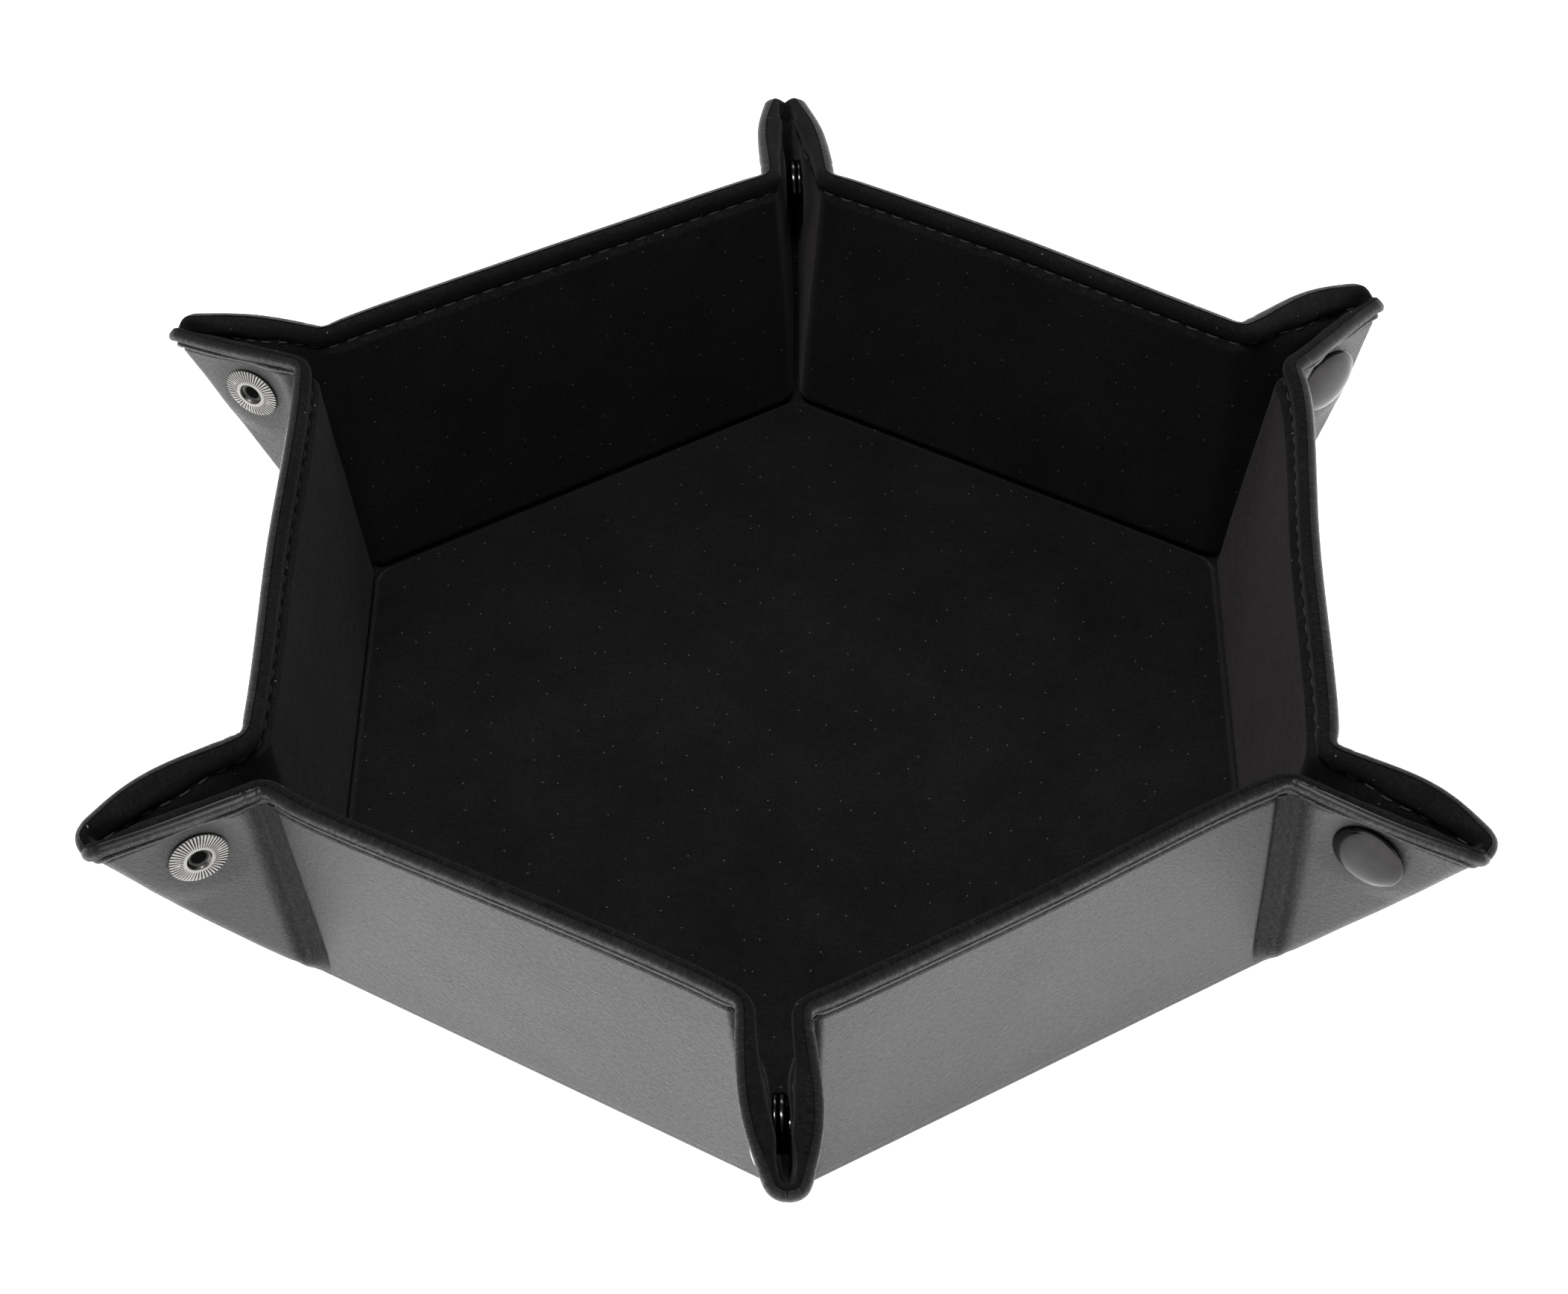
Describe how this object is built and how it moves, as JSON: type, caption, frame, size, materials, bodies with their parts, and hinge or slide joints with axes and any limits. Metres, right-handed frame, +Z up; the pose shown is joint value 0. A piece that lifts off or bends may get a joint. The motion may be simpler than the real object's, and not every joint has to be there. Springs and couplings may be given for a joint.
{
  "type": "folding dice tray",
  "caption": "Hexagonal folding dice tray: leather outside, velvet inside, walls that fold up from a flat sheet and are held at the corners by press snaps.",
  "frame": {"origin": "under the middle of the base, on the surface the tray stands on", "axes": "+Z up; +X out through wall 1; +Y towards the ear between walls 2 and 3, at the back of the tray"},
  "size_m": [0.2664, 0.3044, 0.0655],
  "materials": {
    "leather": "satin black with a fine grain",
    "velvet": "short black nap",
    "board": "matte greyboard",
    "gunmetal": "polished gunmetal plating",
    "nickel": "bright nickel plating"
  },
  "bodies": {
    "base": {"base_board": "board", "base_skin": "leather", "base_lining": "velvet", "base_lining_edge": "velvet"},
    "wall_1": {"wall_1_board": "board", "wall_1_skin": "leather", "wall_1_lining": "velvet"},
    "wall_2": {"wall_2_board": "board", "wall_2_skin": "leather", "wall_2_lining": "velvet"},
    "wall_3": {"wall_3_board": "board", "wall_3_skin": "leather", "wall_3_lining": "velvet"},
    "wall_4": {"wall_4_board": "board", "wall_4_skin": "leather", "wall_4_lining": "velvet"},
    "wall_5": {"wall_5_board": "board", "wall_5_skin": "leather", "wall_5_lining": "velvet"},
    "wall_6": {"wall_6_board": "board", "wall_6_skin": "leather", "wall_6_lining": "velvet"},
    "ear_1_cap_side": {"ear_1_cap_side": "leather", "snap_1_cap": "gunmetal", "snap_1_socket": "gunmetal"},
    "ear_1_post_side": {"ear_1_post_side": "leather", "snap_1_stud": "gunmetal", "snap_1_post": "nickel"},
    "ear_2_cap_side": {"ear_2_cap_side": "leather", "snap_2_cap": "gunmetal", "snap_2_socket": "gunmetal"},
    "ear_2_post_side": {"ear_2_post_side": "leather", "snap_2_stud": "gunmetal", "snap_2_post": "nickel"},
    "ear_3_cap_side": {"ear_3_cap_side": "leather", "snap_3_cap": "gunmetal", "snap_3_socket": "gunmetal"},
    "ear_3_post_side": {"ear_3_post_side": "leather", "snap_3_stud": "gunmetal", "snap_3_post": "nickel"},
    "ear_4_cap_side": {"ear_4_cap_side": "leather", "snap_4_cap": "gunmetal", "snap_4_socket": "gunmetal"},
    "ear_4_post_side": {"ear_4_post_side": "leather", "snap_4_stud": "gunmetal", "snap_4_post": "nickel"},
    "ear_5_cap_side": {"ear_5_cap_side": "leather", "snap_5_cap": "gunmetal", "snap_5_socket": "gunmetal"},
    "ear_5_post_side": {"ear_5_post_side": "leather", "snap_5_stud": "gunmetal", "snap_5_post": "nickel"},
    "ear_6_cap_side": {"ear_6_cap_side": "leather", "snap_6_cap": "gunmetal", "snap_6_socket": "gunmetal"},
    "ear_6_post_side": {"ear_6_post_side": "leather", "snap_6_stud": "gunmetal", "snap_6_post": "nickel"}
  },
  "joints": [
    {"name": "wall_1_fold", "type": "hinge", "parent": "base", "child": "wall_1", "pos_m": [0.0962, 0, 0.0011], "axis": [0, 1, 0], "range_deg": [0, 81]},
    {"name": "wall_2_fold", "type": "hinge", "parent": "base", "child": "wall_2", "pos_m": [0.0481, 0.08331, 0.0011], "axis": [-0.866, 0.5, 0], "range_deg": [0, 81]},
    {"name": "wall_3_fold", "type": "hinge", "parent": "base", "child": "wall_3", "pos_m": [-0.0481, 0.08331, 0.0011], "axis": [-0.866, -0.5, 0], "range_deg": [0, 81]},
    {"name": "wall_4_fold", "type": "hinge", "parent": "base", "child": "wall_4", "pos_m": [-0.0962, 0, 0.0011], "axis": [0, -1, 0], "range_deg": [0, 81]},
    {"name": "wall_5_fold", "type": "hinge", "parent": "base", "child": "wall_5", "pos_m": [-0.0481, -0.08331, 0.0011], "axis": [0.866, -0.5, 0], "range_deg": [0, 81]},
    {"name": "wall_6_fold", "type": "hinge", "parent": "base", "child": "wall_6", "pos_m": [0.0481, -0.08331, 0.0011], "axis": [0.866, 0.5, 0], "range_deg": [0, 81]},
    {"name": "ear_1_cap_fold", "type": "hinge", "parent": "wall_1", "child": "ear_1_cap_side", "pos_m": [0.0962, 0.05344, 0.0011], "axis": [0.0871, -0.0217, 0.996], "range_deg": [0, 51.37]},
    {"name": "ear_1_post_fold", "type": "hinge", "parent": "wall_2", "child": "ear_1_post_side", "pos_m": [0.09438, 0.05659, 0.0011], "axis": [-0.0248, -0.0863, -0.996], "range_deg": [0, 51.37]},
    {"name": "ear_2_cap_fold", "type": "hinge", "parent": "wall_2", "child": "ear_2_cap_side", "pos_m": [0.00182, 0.11003, 0.0011], "axis": [0.0624, 0.0646, 0.996], "range_deg": [0, 51.37]},
    {"name": "ear_2_post_fold", "type": "hinge", "parent": "wall_3", "child": "ear_2_post_side", "pos_m": [-0.00182, 0.11003, 0.0011], "axis": [0.0624, -0.0646, -0.996], "range_deg": [0, 51.37]},
    {"name": "ear_3_cap_fold", "type": "hinge", "parent": "wall_3", "child": "ear_3_cap_side", "pos_m": [-0.09438, 0.05659, 0.0011], "axis": [-0.0248, 0.0863, 0.996], "range_deg": [0, 51.37]},
    {"name": "ear_3_post_fold", "type": "hinge", "parent": "wall_4", "child": "ear_3_post_side", "pos_m": [-0.0962, 0.05344, 0.0011], "axis": [0.0871, 0.0217, -0.996], "range_deg": [0, 51.37]},
    {"name": "ear_4_cap_fold", "type": "hinge", "parent": "wall_4", "child": "ear_4_cap_side", "pos_m": [-0.0962, -0.05344, 0.0011], "axis": [-0.0871, 0.0217, 0.996], "range_deg": [0, 51.37]},
    {"name": "ear_4_post_fold", "type": "hinge", "parent": "wall_5", "child": "ear_4_post_side", "pos_m": [-0.09438, -0.05659, 0.0011], "axis": [0.0248, 0.0863, -0.996], "range_deg": [0, 51.37]},
    {"name": "ear_5_cap_fold", "type": "hinge", "parent": "wall_5", "child": "ear_5_cap_side", "pos_m": [-0.00182, -0.11003, 0.0011], "axis": [-0.0624, -0.0646, 0.996], "range_deg": [0, 51.37]},
    {"name": "ear_5_post_fold", "type": "hinge", "parent": "wall_6", "child": "ear_5_post_side", "pos_m": [0.00182, -0.11003, 0.0011], "axis": [-0.0624, 0.0646, -0.996], "range_deg": [0, 51.37]},
    {"name": "ear_6_cap_fold", "type": "hinge", "parent": "wall_6", "child": "ear_6_cap_side", "pos_m": [0.09438, -0.05659, 0.0011], "axis": [0.0248, -0.0863, 0.996], "range_deg": [0, 51.37]},
    {"name": "ear_6_post_fold", "type": "hinge", "parent": "wall_1", "child": "ear_6_post_side", "pos_m": [0.0962, -0.05344, 0.0011], "axis": [-0.0871, -0.0217, -0.996], "range_deg": [0, 51.37]}
  ],
  "couplings": [
    {"joint": "wall_2_fold", "follows": "wall_1_fold", "ratio": 1},
    {"joint": "wall_3_fold", "follows": "wall_1_fold", "ratio": 1},
    {"joint": "wall_4_fold", "follows": "wall_1_fold", "ratio": 1},
    {"joint": "wall_5_fold", "follows": "wall_1_fold", "ratio": 1},
    {"joint": "wall_6_fold", "follows": "wall_1_fold", "ratio": 1},
    {"joint": "ear_1_cap_fold", "follows": "wall_1_fold", "ratio": 0.6341},
    {"joint": "ear_1_post_fold", "follows": "wall_1_fold", "ratio": 0.6341},
    {"joint": "ear_2_cap_fold", "follows": "wall_1_fold", "ratio": 0.6341},
    {"joint": "ear_2_post_fold", "follows": "wall_1_fold", "ratio": 0.6341},
    {"joint": "ear_3_cap_fold", "follows": "wall_1_fold", "ratio": 0.6341},
    {"joint": "ear_3_post_fold", "follows": "wall_1_fold", "ratio": 0.6341},
    {"joint": "ear_4_cap_fold", "follows": "wall_1_fold", "ratio": 0.6341},
    {"joint": "ear_4_post_fold", "follows": "wall_1_fold", "ratio": 0.6341},
    {"joint": "ear_5_cap_fold", "follows": "wall_1_fold", "ratio": 0.6341},
    {"joint": "ear_5_post_fold", "follows": "wall_1_fold", "ratio": 0.6341},
    {"joint": "ear_6_cap_fold", "follows": "wall_1_fold", "ratio": 0.6341},
    {"joint": "ear_6_post_fold", "follows": "wall_1_fold", "ratio": 0.6341}
  ]
}
